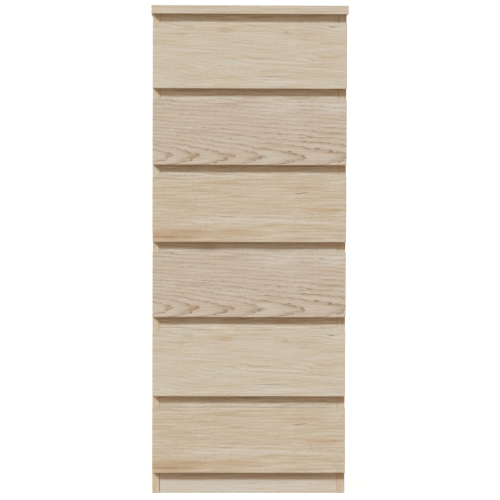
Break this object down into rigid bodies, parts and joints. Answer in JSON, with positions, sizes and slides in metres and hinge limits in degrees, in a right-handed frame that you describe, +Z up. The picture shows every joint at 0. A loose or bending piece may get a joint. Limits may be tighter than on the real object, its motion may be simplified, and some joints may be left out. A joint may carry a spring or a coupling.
{
  "type": "chest of drawers",
  "caption": "Tall narrow free-standing chest with handleless overlay drawers that slide forward on strips, finger gaps between the fronts, a thin top panel and a recessed plinth.",
  "frame": {"origin": "on the floor, under the centre of the chest", "axes": "+Z up, drawers open towards -Y, +X to the right as seen from the front"},
  "size_m": [0.408, 0.38, 1.017],
  "materials": {
    "oak_foil": "pale oak-effect foil on 16 mm board, matt",
    "drawer_board": "smooth off-white foil on 12 mm board",
    "hardboard": "lacquered off-white hardboard",
    "runner_plastic": "natural white moulded plastic",
    "fixing_steel": "zinc-plated steel",
    "cam_zinc": "die-cast zinc, dull",
    "beech": "plain fluted beech"
  },
  "bodies": {
    "carcass": {"top_panel": "oak_foil", "left_side_panel": "oak_foil", "right_side_panel": "oak_foil", "top_rail": "oak_foil", "drawer_rail_1": "oak_foil", "drawer_rail_2": "oak_foil", "drawer_rail_3": "oak_foil", "drawer_rail_4": "oak_foil", "drawer_rail_5": "oak_foil", "plinth": "oak_foil", "bottom_panel": "oak_foil", "rear_top_rail": "oak_foil", "back_panel": "hardboard", "left_runner_strips": "runner_plastic", "right_runner_strips": "runner_plastic", "runner_screws": "fixing_steel", "carcass_cam_bolts": "fixing_steel", "carcass_cam_discs": "cam_zinc", "carcass_dowels": "beech", "back_nails": "fixing_steel", "floor_glides": "runner_plastic"},
    "drawer_1": {"drawer_1_front": "oak_foil", "drawer_1_left_side": "drawer_board", "drawer_1_right_side": "drawer_board", "drawer_1_back": "drawer_board", "drawer_1_bottom": "hardboard", "drawer_1_fasteners": "fixing_steel"},
    "drawer_2": {"drawer_2_front": "oak_foil", "drawer_2_left_side": "drawer_board", "drawer_2_right_side": "drawer_board", "drawer_2_back": "drawer_board", "drawer_2_bottom": "hardboard", "drawer_2_fasteners": "fixing_steel"},
    "drawer_3": {"drawer_3_front": "oak_foil", "drawer_3_left_side": "drawer_board", "drawer_3_right_side": "drawer_board", "drawer_3_back": "drawer_board", "drawer_3_bottom": "hardboard", "drawer_3_fasteners": "fixing_steel"},
    "drawer_4": {"drawer_4_front": "oak_foil", "drawer_4_left_side": "drawer_board", "drawer_4_right_side": "drawer_board", "drawer_4_back": "drawer_board", "drawer_4_bottom": "hardboard", "drawer_4_fasteners": "fixing_steel"},
    "drawer_5": {"drawer_5_front": "oak_foil", "drawer_5_left_side": "drawer_board", "drawer_5_right_side": "drawer_board", "drawer_5_back": "drawer_board", "drawer_5_bottom": "hardboard", "drawer_5_fasteners": "fixing_steel"},
    "drawer_6": {"drawer_6_front": "oak_foil", "drawer_6_left_side": "drawer_board", "drawer_6_right_side": "drawer_board", "drawer_6_back": "drawer_board", "drawer_6_bottom": "hardboard", "drawer_6_fasteners": "fixing_steel"}
  },
  "joints": [
    {"name": "drawer_1_slide", "type": "slide", "parent": "carcass", "child": "drawer_1", "axis": [0, -1, 0], "range_m": [0, 0.264]},
    {"name": "drawer_2_slide", "type": "slide", "parent": "carcass", "child": "drawer_2", "axis": [0, -1, 0], "range_m": [0, 0.264]},
    {"name": "drawer_3_slide", "type": "slide", "parent": "carcass", "child": "drawer_3", "axis": [0, -1, 0], "range_m": [0, 0.264]},
    {"name": "drawer_4_slide", "type": "slide", "parent": "carcass", "child": "drawer_4", "axis": [0, -1, 0], "range_m": [0, 0.264]},
    {"name": "drawer_5_slide", "type": "slide", "parent": "carcass", "child": "drawer_5", "axis": [0, -1, 0], "range_m": [0, 0.264]},
    {"name": "drawer_6_slide", "type": "slide", "parent": "carcass", "child": "drawer_6", "axis": [0, -1, 0], "range_m": [0, 0.264]}
  ]
}
